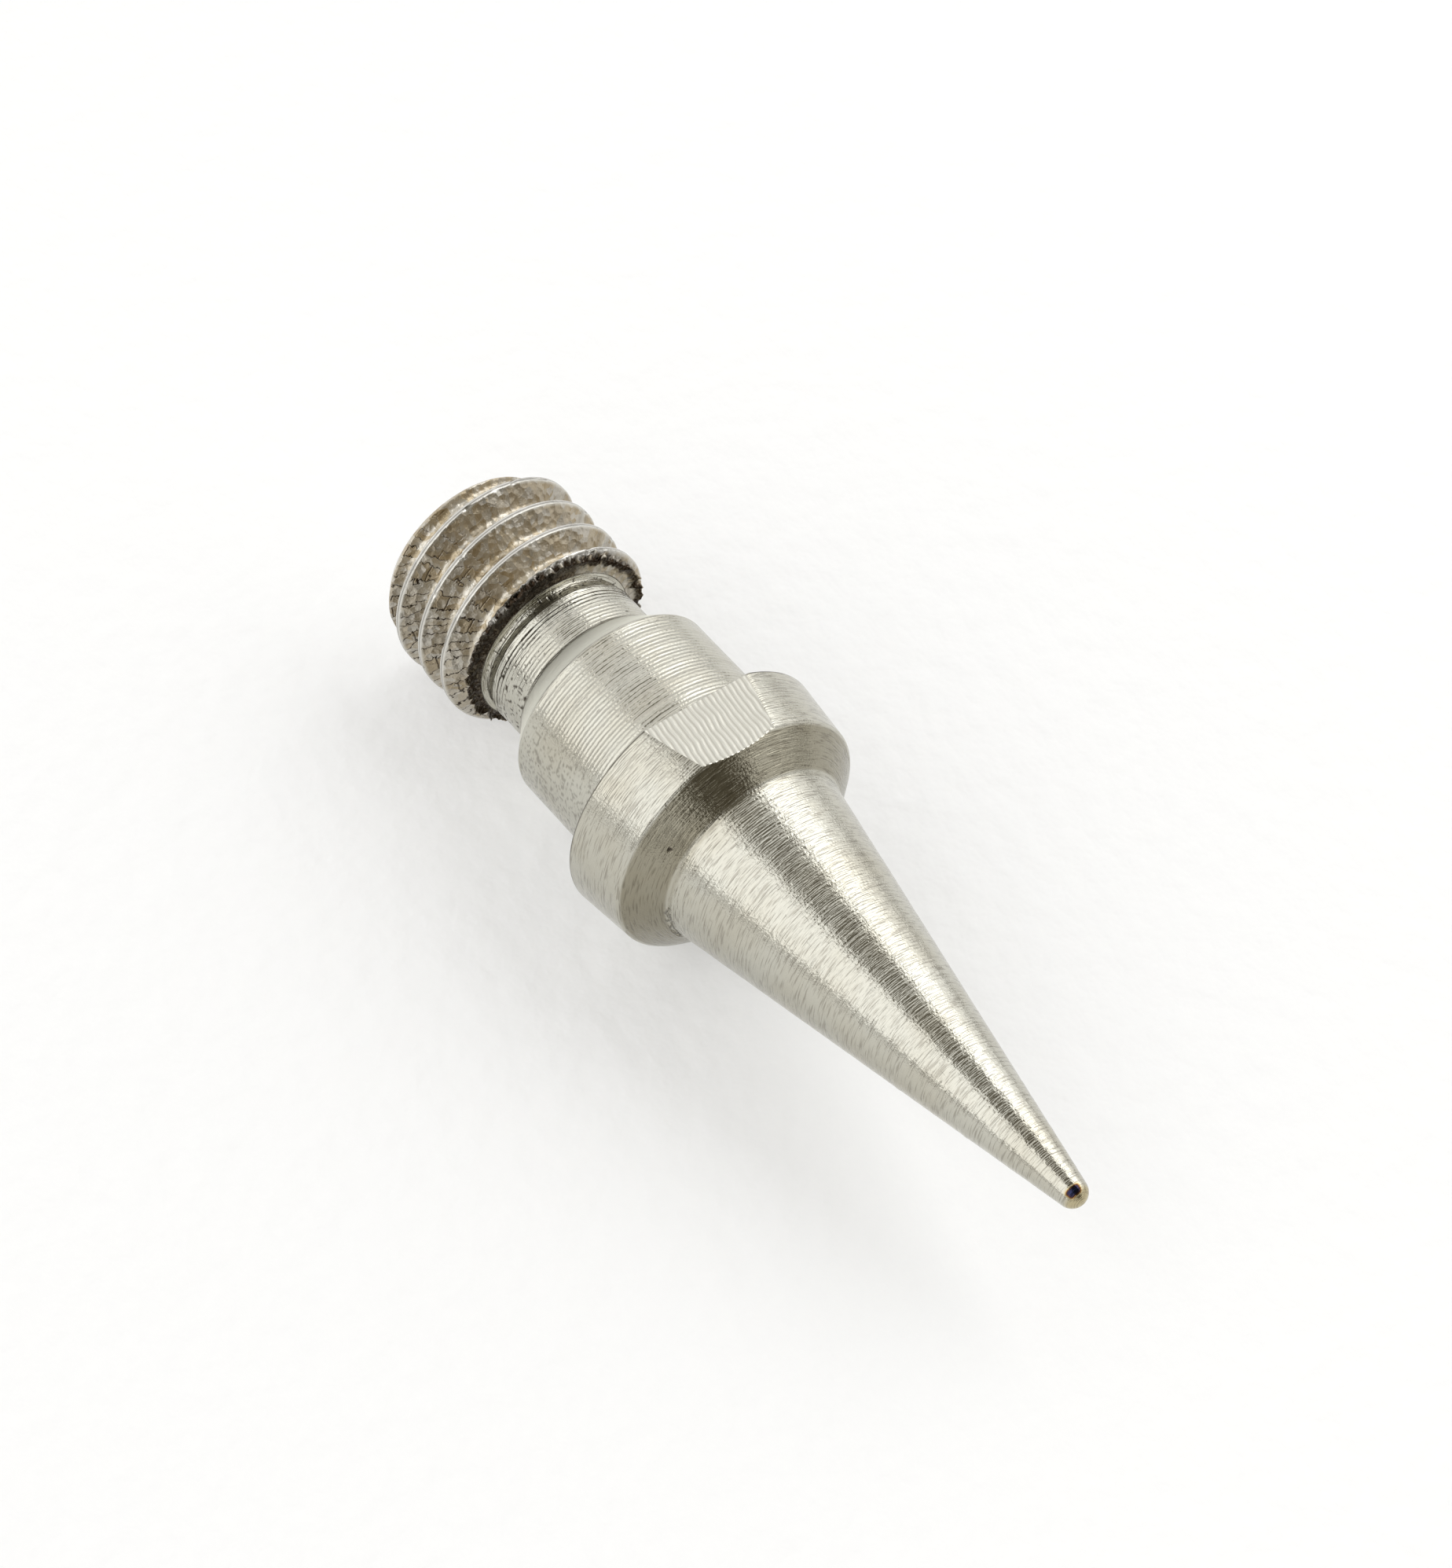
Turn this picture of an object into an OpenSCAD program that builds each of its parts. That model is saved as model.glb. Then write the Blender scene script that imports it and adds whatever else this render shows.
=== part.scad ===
// Screw-in point of a live center: one piece of stainless steel, turned from bar, with two
// wrench flats milled on its collar. The axis is X: the tip points to +X and the thread is
// at -X. The origin is on the axis, in the plane of the collar's rear face, where the point
// seats against the spindle. The wrench flats face +Z and -Z.

/* [Point] */
// Diameter of the cone where it leaves the collar
point_d = 5.4; // [4.5:0.05:6.5]
// Length of the cone from the collar to the end of its nose
point_l = 12.75; // [8:0.25:18]
// Radius of the rounded nose
nose_r = 0.4; // [0.15:0.05:0.8]

/* [Pilot and seat] */
// Diameter of the pilot, which centres the point in the spindle
pilot_d = 6; // [5:0.1:8]
// Length of the pilot's cylinder
pilot_l = 3.4; // [2:0.1:6]
// Width of the flat seat that stands out around the pilot
seat_w = 0.85; // [0.5:0.05:1.5]

/* [Collar] */
// Length of the collar's outer face
collar_l = 1.75; // [1:0.05:3]
// How much smaller the collar's radius is at its front edge than at its rear edge
collar_taper = 0.18; // [0:0.02:0.3]
// Length along the axis of the bevel from the collar down to the cone
bevel_l = 0.85; // [0.4:0.05:1.5]
// Depth to which each wrench flat is milled below the collar's rear edge
flat_depth = 0.35; // [0.2:0.05:0.6]

/* [Relief neck] */
// Length of the neck's cylinder, from the thread's end wall
neck_l = 1.7; // [1:0.1:3]
// Depth of the neck below the root of the thread
neck_relief = 0.12; // [0.05:0.01:0.3]
// Length of the taper from the neck up to the pilot
neck_taper_l = 0.9; // [0.5:0.05:1.5]
// Width of the run-out groove beside the thread's end wall
groove_w = 0.42; // [0.2:0.02:0.6]
// Depth of the run-out groove below the neck
groove_depth = 0.1; // [0.04:0.01:0.15]

/* [Thread] */
// Pitch of the right-hand 60 degree thread
thread_pitch = 1; // [0.5:0.05:1.2]
// Length of the thread, from its end wall to the rear end
thread_l = 3.9; // [2.5:0.1:8]
// Clearance by which the crests stay inside the pilot's radius
crest_clearance = 0.02; // [0.01:0.005:0.1]
// Distance from the end wall back to the last crest, measured on the +Y side
crest_setback = 0.34; // [0:0.02:0.5]
// Depth of the lead chamfer at the rear end, measured on the radius
lead_depth = 0.48; // [0.2:0.02:0.6]
// Length of the lead chamfer along the axis
lead_l = 0.6; // [0.3:0.05:1]

/* [Hidden] */
$fn = 96;
steel = "#b9b5a8";
// A cut runs this far past the surface it opens
overrun = 1;

// Radii
pilot_r = pilot_d / 2;
collar_r = pilot_r + seat_w;
collar_front_r = collar_r - collar_taper;
flat_r = collar_r - flat_depth;
cone_r = point_d / 2;
crest_r = pilot_r - crest_clearance;
// Basic depth of an external ISO thread, from crest to root flat
thread_depth = 0.6134 * thread_pitch;
root_r = crest_r - thread_depth;
neck_r = root_r - neck_relief;
lead_r = crest_r - lead_depth;

// Places along the axis, from the tip to the rear end
cone_x = collar_l + bevel_l;
tip_x = cone_x + point_l;
nose_x = tip_x - nose_r;
neck_front_x = -pilot_l - neck_taper_l;
wall_x = neck_front_x - neck_l;
rear_x = wall_x - thread_l;
// The neck runs on into the threaded length, so that the two are one piece
neck_root_x = wall_x - thread_l / 2;

// Half angle of the cone: the line from its base circle that touches the nose
cone_reach = norm([nose_x - cone_x, cone_r]);
cone_angle = atan2(cone_r, nose_x - cone_x) - asin(nose_r / cone_reach);
nose_steps = 10;
nose_arc = [
    for (i = [0:nose_steps])
        let (a = (90 - cone_angle) * (1 - i / nose_steps))
        [nose_r * sin(a), nose_x + nose_r * cos(a)]
];

// Radius of the circle that cuts the run-out groove, from its width and depth
groove_r = (groove_w * groove_w / 4 + groove_depth * groove_depth) / (2 * groove_depth);

// The thread is a skin of helical rows. Each row keeps its place in the thread's form while
// it turns one pitch forward per turn, and it ends where it meets the wall or the rear end.
// Places of the rows in one pitch, counted from the middle of a crest: the two edges of the
// crest flat, the middle of a flank, the two edges of the root flat, and the next flank.
ROW_PLACES = [-1/16, 1/16, 7/32, 3/8, 5/8, 25/32];
rows_per_pitch = len(ROW_PLACES);
columns = 60;
// The rows run on past both ends by a pitch or more, so that each end ring is complete
pitches = ceil(thread_l / thread_pitch) + 3;
last_row = rows_per_pitch * pitches - 1;
first_crest_x = wall_x - crest_setback - thread_pitch * (pitches - 2);

// Place along the axis of a row where it starts, on the +Y side
function row_start_x(row) =
    first_crest_x
    + thread_pitch * (floor(row / rows_per_pitch) + ROW_PLACES[row % rows_per_pitch]);

// Place along the axis of a row at a column
function row_x(row, column) = row_start_x(row) + thread_pitch * column / columns;

// Distance along the axis from a point to the middle of the nearest crest
function crest_distance(x, turn) =
    let (d = (x - first_crest_x) / thread_pitch - turn)
    thread_pitch * abs(d - round(d));

// Radius of the thread's form at a distance from the middle of its crest
function form_r(d) =
    let (share = (d / thread_pitch - 1/16) / (3/8 - 1/16))
    crest_r - thread_depth * max(0, min(1, share));

// Radius of the thread's skin, with the lead chamfer at the rear end
function skin_r(x, turn) =
    min(form_r(crest_distance(x, turn)), lead_r + (x - rear_x) * lead_depth / lead_l);

function skin_point(x, column) =
    let (turn = column / columns, r = skin_r(x, turn))
    [x, r * cos(360 * turn), r * sin(360 * turn)];

// Points: the two end rings, then every row at every column, then the two end centres
thread_points = concat(
    [for (column = [0:columns - 1]) skin_point(rear_x, column)],
    [for (column = [0:columns - 1]) skin_point(wall_x, column)],
    [
        for (row = [0:last_row])
            for (column = [0:columns - 1])
                skin_point(min(wall_x, max(rear_x, row_x(row, column))), column)
    ],
    [[rear_x, 0, 0], [wall_x, 0, 0]]
);
rear_centre = len(thread_points) - 2;
wall_centre = len(thread_points) - 1;

// Number of the point where a row meets a column. After a full turn a row goes on as the
// row one pitch ahead, and past either end it is the point of that end's ring.
function point_number(row, column) =
    column == columns ? point_number(row + rows_per_pitch, 0) :
    row > last_row || row_x(row, column) >= wall_x ? columns + column :
    row_x(row, column) <= rear_x ? column :
    2 * columns + row * columns + column;

function is_triangle(f) = f[0] != f[1] && f[1] != f[2] && f[2] != f[0];

skin_faces = [
    for (row = [0:last_row])
        for (column = [0:columns - 1])
            let (
                a = point_number(row, column),
                b = point_number(row + 1, column),
                c = point_number(row + 1, column + 1),
                d = point_number(row, column + 1)
            )
            for (f = [[a, b, c], [a, c, d]])
                if (is_triangle(f)) f
];
end_faces = [
    for (column = [0:columns - 1])
        let (next = (column + 1) % columns)
        for (f = [
            [rear_centre, column, next],
            [wall_centre, columns + next, columns + column]
        ])
            f
];

// Turned profile from the neck to the nose, as [radius, place along the axis]
module turned_blank() {
    rotate([0, 90, 0])
        rotate_extrude()
            polygon(concat(
                [
                    [0, neck_root_x],
                    [neck_r, neck_root_x],
                    [neck_r, neck_front_x],
                    [pilot_r, -pilot_l],
                    [pilot_r, 0],
                    [collar_r, 0],
                    [collar_front_r, collar_l],
                    [cone_r, cone_x]
                ],
                nose_arc
            ));
}

module thread() {
    polyhedron(points = thread_points, faces = concat(skin_faces, end_faces));
}

// Ring cut into the neck beside the thread's end wall
module run_out_groove() {
    translate([wall_x + groove_w / 2, 0, 0])
        rotate([0, 90, 0])
            rotate_extrude()
                translate([neck_r - groove_depth + groove_r, 0])
                    circle(r = groove_r);
}

// The two slabs that a milling cutter takes off the collar
module wrench_flats() {
    for (side = [0, 180])
        rotate([side, 0, 0])
            translate([0, -collar_r - overrun, flat_r])
                cube([cone_x + overrun, 2 * (collar_r + overrun), collar_r]);
}

module center_point() {
    color(steel)
        union() {
            difference() {
                turned_blank();
                run_out_groove();
                wrench_flats();
            }
            thread();
        }
}

center_point();
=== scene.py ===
# %% [markdown]
# # A live center's screw-in point, in stainless steel
# This notebook gives a small turned part its real surface. The exact solid comes from the CAD frame.
# Blender adds what a drawing leaves out: the spiral that the tool leaves on a turned diameter, the
# torn flanks of a thread cut in gummy stainless, the ripples of a milled flat, and small burrs.

# %% Load the frame
import math

import bpy
import numpy as np
from mathutils import Matrix, Vector


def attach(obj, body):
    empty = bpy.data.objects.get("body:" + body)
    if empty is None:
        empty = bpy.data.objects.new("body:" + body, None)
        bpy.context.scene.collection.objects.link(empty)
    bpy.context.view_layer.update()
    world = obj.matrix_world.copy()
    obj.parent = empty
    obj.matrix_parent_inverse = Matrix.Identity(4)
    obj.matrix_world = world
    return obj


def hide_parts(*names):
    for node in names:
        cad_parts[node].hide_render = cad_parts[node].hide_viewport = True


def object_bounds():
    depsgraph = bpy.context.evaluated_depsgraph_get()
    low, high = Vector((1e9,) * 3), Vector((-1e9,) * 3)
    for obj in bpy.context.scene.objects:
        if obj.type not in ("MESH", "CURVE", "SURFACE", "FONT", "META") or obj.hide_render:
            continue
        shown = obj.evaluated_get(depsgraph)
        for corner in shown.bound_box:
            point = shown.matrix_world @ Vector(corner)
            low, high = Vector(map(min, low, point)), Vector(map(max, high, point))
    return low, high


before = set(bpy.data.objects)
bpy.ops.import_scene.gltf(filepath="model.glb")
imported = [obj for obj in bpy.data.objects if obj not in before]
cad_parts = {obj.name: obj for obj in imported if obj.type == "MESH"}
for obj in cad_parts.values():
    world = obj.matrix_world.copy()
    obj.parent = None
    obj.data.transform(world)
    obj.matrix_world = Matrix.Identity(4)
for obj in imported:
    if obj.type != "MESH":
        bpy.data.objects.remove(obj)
CAD_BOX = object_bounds()
MM = 0.001
NODE = "center_point"
print("CAD box, mm:", [[round(c / MM, 2) for c in corner] for corner in CAD_BOX])

# %% [markdown]
# ## Measuring the part
# The part's corners and radii are read off the frame, in millimetres. A turned part is a stack of
# rings about the X axis. Where two turned surfaces meet, both leave a ring of vertices at the same
# place, so the crowded places along X are the corners of the profile, from the rear end to the cone.

# %% Read the corners of the turned profile
FULL_TURN = 2 * math.pi
cad = np.array([v.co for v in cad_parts[NODE].data.vertices]) / MM
cad_x = cad[:, 0]
cad_r = np.hypot(cad[:, 1], cad[:, 2])
cad_turn = np.arctan2(cad[:, 2], cad[:, 1]) / FULL_TURN
places, crowds = np.unique(np.round(cad_x, 3), return_counts=True)
# A ring has more vertices than this at one place along X, and the helical thread has only a few
CROWD = 60
rear_x, wall_x, groove_x, neck_x, pilot_x, seat_x, collar_x, cone_x = places[crowds > CROWD][:8]


def radius_at(x):
    """Largest radius of the ring at x."""
    return cad_r[np.abs(cad_x - x) < 2e-3].max()


tip_x = CAD_BOX[1][0] / MM
flat_r = CAD_BOX[1][2] / MM
neck_r = radius_at(neck_x)
pilot_r = radius_at(pilot_x)
collar_r = radius_at(seat_x)
collar_front_r = radius_at(collar_x)
cone_r = radius_at(cone_x)
lead_r = radius_at(rear_x)
print("corners:", rear_x, wall_x, groove_x, neck_x, pilot_x, seat_x, collar_x, cone_x, round(tip_x, 3))

# %% [markdown]
# The nose is a ball that the cone touches. The ring where they meet stands square to the cone's
# side, which gives the ball's radius. The thread is ISO metric, whose flanks are 0.6134 of a pitch
# deep, so its depth gives its pitch. Its crests follow a helix, and the mean place of the crest
# vertices, taken round the pitch as on a clock face, gives the helix its phase.

# %% Read the nose and the thread
nose_ring = places[(crowds > CROWD) & (places > cone_x + 1)][0]
cone_angle = math.atan2(cone_r - radius_at(nose_ring), nose_ring - cone_x)
nose_r = radius_at(nose_ring) / math.cos(cone_angle)
threaded = (cad_x > rear_x + 0.01) & (cad_x < wall_x - 0.01)
crest_r = cad_r[threaded].max()
root_r = cad_r[threaded].min()
ISO_DEPTH = 0.6134
pitch = (crest_r - root_r) / ISO_DEPTH
on_crest = threaded & (cad_r > crest_r - 0.002)
clock = np.exp(1j * FULL_TURN * (cad_x[on_crest] / pitch - cad_turn[on_crest]))
crest_phase = np.angle(clock.mean()) / FULL_TURN * pitch
print("nose", round(nose_r, 3), "cone", round(math.degrees(cone_angle), 2), "pitch", round(pitch, 3))

# %% [markdown]
# ## Noise that closes on itself
# Tool marks are regular, but never quite. Each irregularity comes from one small noise function: a
# table of seeded random numbers, blended smoothly. Around the part it repeats after a whole number
# of cells, so that no seam shows where a turn ends.

# %% A noise table
COLUMNS = 384
TABLE_SIDE = 256
# Each column's place around the part, in turns: 0 faces +Y and 0.25 faces +Z
turn = np.arange(COLUMNS) / COLUMNS


def noise(along, around, cells, seed):
    """Smooth noise from 0 to 1. along counts cells along the part; around is in turns."""
    table = np.random.default_rng(seed).random((TABLE_SIDE, TABLE_SIDE))
    u, v = np.broadcast_arrays(np.asarray(along, float), np.asarray(around, float) * cells)
    iu = np.floor(u).astype(int)
    iv = np.floor(v).astype(int)
    fu = (u - iu) ** 2 * (3 - 2 * (u - iu))
    fv = (v - iv) ** 2 * (3 - 2 * (v - iv))
    near, far = iu % TABLE_SIDE, (iu + 1) % TABLE_SIDE
    left, right = iv % cells % TABLE_SIDE, (iv + 1) % cells % TABLE_SIDE
    on_left = table[near, left] * (1 - fu) + table[far, left] * fu
    on_right = table[near, right] * (1 - fu) + table[far, right] * fu
    return on_left * (1 - fv) + on_right * fv


def ramp(value, start, end):
    """0 before start, 1 after end, and a smooth rise between them."""
    t = np.clip((value - start) / (end - start), 0, 1)
    return t * t * (3 - 2 * t)


def band(value, start, end, edge):
    """1 between start and end, with smooth edges."""
    return ramp(value, start - edge, start + edge) * (1 - ramp(value, end - edge, end + edge))


# %% [markdown]
# ## The turned profile
# The profile from the thread's wall to the nose could be a spun curve with bevels. Here it is a list
# of rows, so that each stretch has as many rows as its tool marks need: five for every turn of the
# tool on the pilot, where the marks are coarse. Each corner carries its own small radius, because a
# real edge is never sharp, and that thin round edge is what catches the light.

# %% List the corners
FEED = 0.117
MARK_STEP = FEED / 5
GROOVE_STEP = 0.03
SMOOTH_STEP = 0.04
BEVEL_STEP = 0.02
CONE_STEP = 0.045
nose_ball_x = tip_x - nose_r
groove_low_r = cad_r[(cad_x > wall_x) & (cad_x < groove_x)].min()
# Each corner: place, radius, size of its rounding, and the step between rows after it
CORNERS = [
    (wall_x, neck_r + 0.09, 0, GROOVE_STEP),
    (wall_x + 0.05, groove_low_r + 0.02, 0.06, GROOVE_STEP),
    (wall_x + 0.22, groove_low_r, 0.15, GROOVE_STEP),
    (groove_x, neck_r + 0.012, 0.03, MARK_STEP),
    (groove_x + 0.06, neck_r, 0.03, MARK_STEP),
    (neck_x, neck_r, 0.2, SMOOTH_STEP),
    (pilot_x, pilot_r, 0.16, MARK_STEP),
    (seat_x, pilot_r, 0.02, SMOOTH_STEP),
    (seat_x, collar_r, 0.03, SMOOTH_STEP / 2),
    (collar_x, collar_front_r, 0.05, BEVEL_STEP),
    (cone_x, cone_r, 0.09, CONE_STEP),
    (nose_ring, radius_at(nose_ring), 0, 0),
]
print("corners of the profile:", len(CORNERS))

# %% Round the corners and lay out the rows
ARC_STEP = 0.2


def unit(vector):
    """The vector at a length of 1."""
    return vector / np.linalg.norm(vector)


def rounded_profile(corners):
    """Rows of (place, radius) along the corners, with an arc in each corner that has a rounding."""
    rows = [np.array(corners[0][:2], float)]
    for before, here, after in zip(corners, corners[1:], corners[2:] + [None]):
        corner = np.array(here[:2], float)
        end = corner
        arc = []
        if after is not None and here[2]:
            back = unit(np.array(before[:2]) - corner)
            ahead = unit(np.array(after[:2]) - corner)
            half = math.acos(np.clip(back @ ahead, -1, 1)) / 2
            reach = here[2] / math.tan(half)
            centre = corner + unit(back + ahead) * here[2] / math.sin(half)
            start, end = corner + back * reach, corner + ahead * reach
            turns = math.pi - 2 * half
            count = max(2, math.ceil(turns / ARC_STEP))
            for i in range(1, count + 1):
                share = i / count
                side = math.sin((1 - share) * turns) * (start - centre)
                other = math.sin(share * turns) * (end - centre)
                arc.append(centre + (side + other) / math.sin(turns))
            end = start
        stretch = end - rows[-1]
        count = max(1, round(np.linalg.norm(stretch) / before[3]))
        rows += [rows[-1] + stretch * i / count for i in range(1, count + 1)]
        rows += arc
    return np.array(rows)


turned = rounded_profile(CORNERS)
NOSE_ROWS = 16
nose_turn = np.linspace(math.pi / 2 - cone_angle, 0, NOSE_ROWS + 1)[1:-1]
nose = np.column_stack([nose_ball_x + nose_r * np.cos(nose_turn), nose_r * np.sin(nose_turn)])
turned = np.vstack([turned, nose])
slope = np.gradient(turned, axis=0)
slope /= np.linalg.norm(slope, axis=1)[:, None]
row_x, row_r = turned[:, :1], turned[:, 1:]
out_x, out_r = -slope[:, 1:], slope[:, :1]
# How far each row is from the first one, along the profile
run = np.concatenate([[0], np.cumsum(np.linalg.norm(np.diff(turned, axis=0), axis=1))])[:, None]
print("turned rows:", len(turned))

# %% [markdown]
# ## Tool marks
# A lathe tool moves ahead a fixed feed at each turn and leaves a shallow spiral of scallops with
# sharp ridges between them. They are a hundredth of a millimetre deep, yet they break up every
# reflection. They could be painted as a bump, but the coarse ones are cut into the mesh here, so that
# they are there in any renderer. Harder spots in the steel tear small pits out of the ridges.

# %% Three kinds of mark


def scallops(feed, depth, seed):
    """Height of a spiral of tool marks, zero at its ridges."""
    phase = run / feed + turn
    bowl = 1 - (2 * (phase % 1) - 1) ** 2
    uneven = 0.4 + 1.1 * noise(run / feed * 0.7, turn, 5, seed)
    return -depth * uneven * bowl


def ripples(wave, depth, seed, cells=3):
    """Height of uneven rings about wave apart."""
    return depth * (noise(run / wave, turn, cells, seed) - 0.5)


def pits(size, share, depth, seed):
    """Height of scattered pits, size across, that cover a share of the surface."""
    cells = max(8, round(FULL_TURN * pilot_r / size))
    return -depth * ramp(noise(run / size, turn, cells, seed), 1 - share - 0.06, 1 - share + 0.06)


print("columns in a row:", COLUMNS)

# %% [markdown]
# Each stretch of the profile gets its own mask, which fades out before the next stretch. The steel
# also differs around the part: one side of the neck tore, and the pilot's lower side came out
# matt and pitted, with hardly any spiral.

# %% Where each mark goes
on_neck = band(row_x, groove_x + 0.1, neck_x - 0.04, 0.04)
in_groove = band(row_x, wall_x + 0.03, groove_x - 0.02, 0.02)
on_pilot = band(row_x, pilot_x + 0.08, seat_x - 0.04, 0.04)
on_collar = band(row_x, seat_x + 0.06, collar_x - 0.06, 0.03) * (row_r > collar_front_r - 0.02)
on_bevel = band(row_x, collar_x + 0.06, cone_x - 0.05, 0.03)
on_cone = ramp(row_x, cone_x + 0.03, cone_x + 0.15)
fade_nose = 1 - ramp(row_x, tip_x - 0.9, tip_x - 0.4)
TORN_TURN = 0.53
MATT_START = 0.41
MATT_END = 0.8
torn_side = ramp(np.cos(FULL_TURN * (turn - TORN_TURN)), 0.3, 0.9)
matt_side = band(turn, MATT_START, MATT_END, 0.02)
print("matt side of the pilot, degrees:", round(360 * (MATT_END - MATT_START)))

# %% Pit the surfaces
hollow = on_neck * pits(0.09, 0.03, 0.012, 12) + on_neck * torn_side * pits(0.08, 0.16, 0.016, 13)
hollow += on_pilot * pits(0.06, 0.03, 0.008, 22) + on_pilot * matt_side * pits(0.06, 0.3, 0.004, 23)
hollow += in_groove * pits(0.08, 0.12, 0.02, 14)
hollow += on_cone * fade_nose * pits(0.07, 0.02, 0.006, 54)
hollow += on_bevel * pits(0.08, 0.02, 0.01, 43)
# One deep pore in the bevel. The bevel slopes, so that it takes less of X than of the surface
PORE_TURN = 0.4
PORE_RADIUS = 0.07
PORE_DEPTH = 0.04
pore_x = (collar_x + cone_x) / 2 + 0.12
pore_gap = np.hypot((row_x - pore_x) / 0.7, FULL_TURN * row_r * (turn - PORE_TURN))
hollow -= PORE_DEPTH * (1 - ramp(pore_gap, PORE_RADIUS * 0.5, PORE_RADIUS))
print("deepest pit, mm:", round(-float(hollow.min()), 3))

# %% Cut the tool marks
NECK_SCALLOP = 0.011
PILOT_SCALLOP = 0.0135
CHIP_HEIGHT = 0.05
height = hollow + on_neck * scallops(FEED, NECK_SCALLOP, 11)
height += on_pilot * scallops(FEED, PILOT_SCALLOP, 21) * (1 - 0.75 * matt_side)
height += in_groove * (ripples(0.06, 0.02, 15, 9) + ripples(0.16, 0.02, 16, 5))
# Chips where the finishing tool left the foot of the cone
chipped = band(row_x, cone_x - 0.08, cone_x + 0.1, 0.04) * band(turn, 0.5, 0.6, 0.012)
chips = chipped * ramp(noise(run / 0.05, turn, 150, 61), 0.45, 0.7)
height += CHIP_HEIGHT * chips
height += on_collar * (ripples(0.07, 0.0022, 31) + ripples(0.25, 0.002, 32))
height += on_bevel * (ripples(0.06, 0.003, 41, 7) + ripples(0.2, 0.004, 42))
fine = ripples(0.11, 0.0040, 51, 9) + ripples(0.23, 0.0035, 52, 4) + ripples(0.8, 0.003, 53)
height += on_cone * fade_nose * fine
# Faint steps where the tool was lifted and set down again, as shares of the cone's length
for share, drop in ((0.57, 0.006), (0.66, 0.005), (0.74, 0.009), (0.85, 0.007)):
    step_x = cone_x + share * (tip_x - cone_x)
    height += drop * np.exp(-((row_x - step_x) / 0.05) ** 2) * (0.4 + noise(0, turn, 6, 60))
print("marks reach, mm:", round(float(height.min()), 3), "to", round(float(height.max()), 3))

# %% [markdown]
# ## Columns that follow the wrench flats
# A milling cutter takes a flat off each side of the collar. The flat's edge runs along the collar at
# a changing angle, because the collar tapers. If the columns ignored it, the edge would zigzag. So
# each row slides its columns until one of them lies on the edge.

# %% Slide the columns
EDGE_COLUMN = 26
edge_turn = EDGE_COLUMN / COLUMNS
over_flat = turn % 0.5 - 0.25
edge_now = np.arccos(np.clip(flat_r / np.maximum(row_r, flat_r), -1, 1)) / FULL_TURN
on_sides = (row_x > seat_x - 1e-6) & (row_x < collar_x + 0.01) & (row_r > flat_r + 1e-6)
relax = ramp(row_x, collar_x - 0.05, collar_x + 0.3)
edge_now = np.where(on_sides, edge_now, edge_turn) * (1 - relax) + edge_turn * relax
edge_now = np.where(row_x < seat_x + 1e-6, edge_turn, edge_now)
off_middle = np.abs(over_flat)
within = off_middle * edge_now / edge_turn
beyond = edge_now + (off_middle - edge_turn) * (0.25 - edge_now) / (0.25 - edge_turn)
slid = np.where(off_middle <= edge_turn, within, beyond) * np.sign(over_flat)
angle = FULL_TURN * (slid - over_flat + turn)
print("edge of the flat, degrees:", round(360 * edge_now[on_sides].max(), 2))

# %% [markdown]
# ## The milled flats
# A flat could be cut with a Boolean, but that would leave long thin faces along its edges. Here the
# rows are only pulled in to the flat's plane, and the columns already lie on its edges. The cutter
# leaves the plane a few thousandths of a millimetre uneven, which shows as soft waves.

# %% Cut the flats
WAVE_STEP = 0.31
WAVE_HEIGHT = 0.002
SWELL_HEIGHT = 0.003
# The waves stay this far below the true plane
FLAT_MARGIN = 0.003
body_x = row_x + out_x * height
body_r = row_r + out_r * height
flat_reach = flat_r / np.maximum(np.cos(FULL_TURN * slid), 0.5)
# The seat's outer rim follows the flats too, so its rows shrink towards the pilot
seat_rows = (np.abs(row_x - seat_x) < 0.035) & (row_r < collar_r) & (row_r > pilot_r)
seat_rim = np.minimum(collar_r, flat_reach)
seat_r = pilot_r + (body_r - pilot_r) * (seat_rim - pilot_r) / (collar_r - pilot_r)
across_flat = body_r * np.sin(FULL_TURN * slid)
# The cutter's path runs a little askew and curves towards the front
sweep = across_flat - 0.1 * row_x - 0.05 * (row_x - seat_x) ** 2
sway = 0.35 * (noise(row_x / 0.5, turn, 24, 71) - 0.5)
cut = WAVE_HEIGHT * np.sin(FULL_TURN * (sweep / WAVE_STEP + sway))
cut += SWELL_HEIGHT * (noise(row_x / 0.6, across_flat / 12 + 0.5, 120, 72) - 0.5)
milled = (row_x > seat_x - 0.04) & (row_r > flat_r - 0.03) & (row_x < cone_x)
flat_cut = flat_reach - FLAT_MARGIN + cut * (1 - ramp(row_x, collar_x - 0.12, collar_x))
body_r = np.where(milled & ~seat_rows, np.minimum(body_r, flat_cut), body_r)
body_r = np.where(seat_rows, seat_r, body_r)
on_flat = milled & (body_r > flat_reach - 0.02) & (off_middle <= edge_turn)
print("points on the flats:", int(on_flat.sum()))

# %% [markdown]
# ## The thread
# A thread can be made with a Screw modifier, but then it neither tapers at its lead nor stops flat
# against a wall. Here its rows follow the helix, so that two of them lie on the edges of the crest
# all the way, and they crowd together there. Each column stops at the end planes: the points past
# them fold onto one point there, and the faces that collapse are left out.

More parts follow.
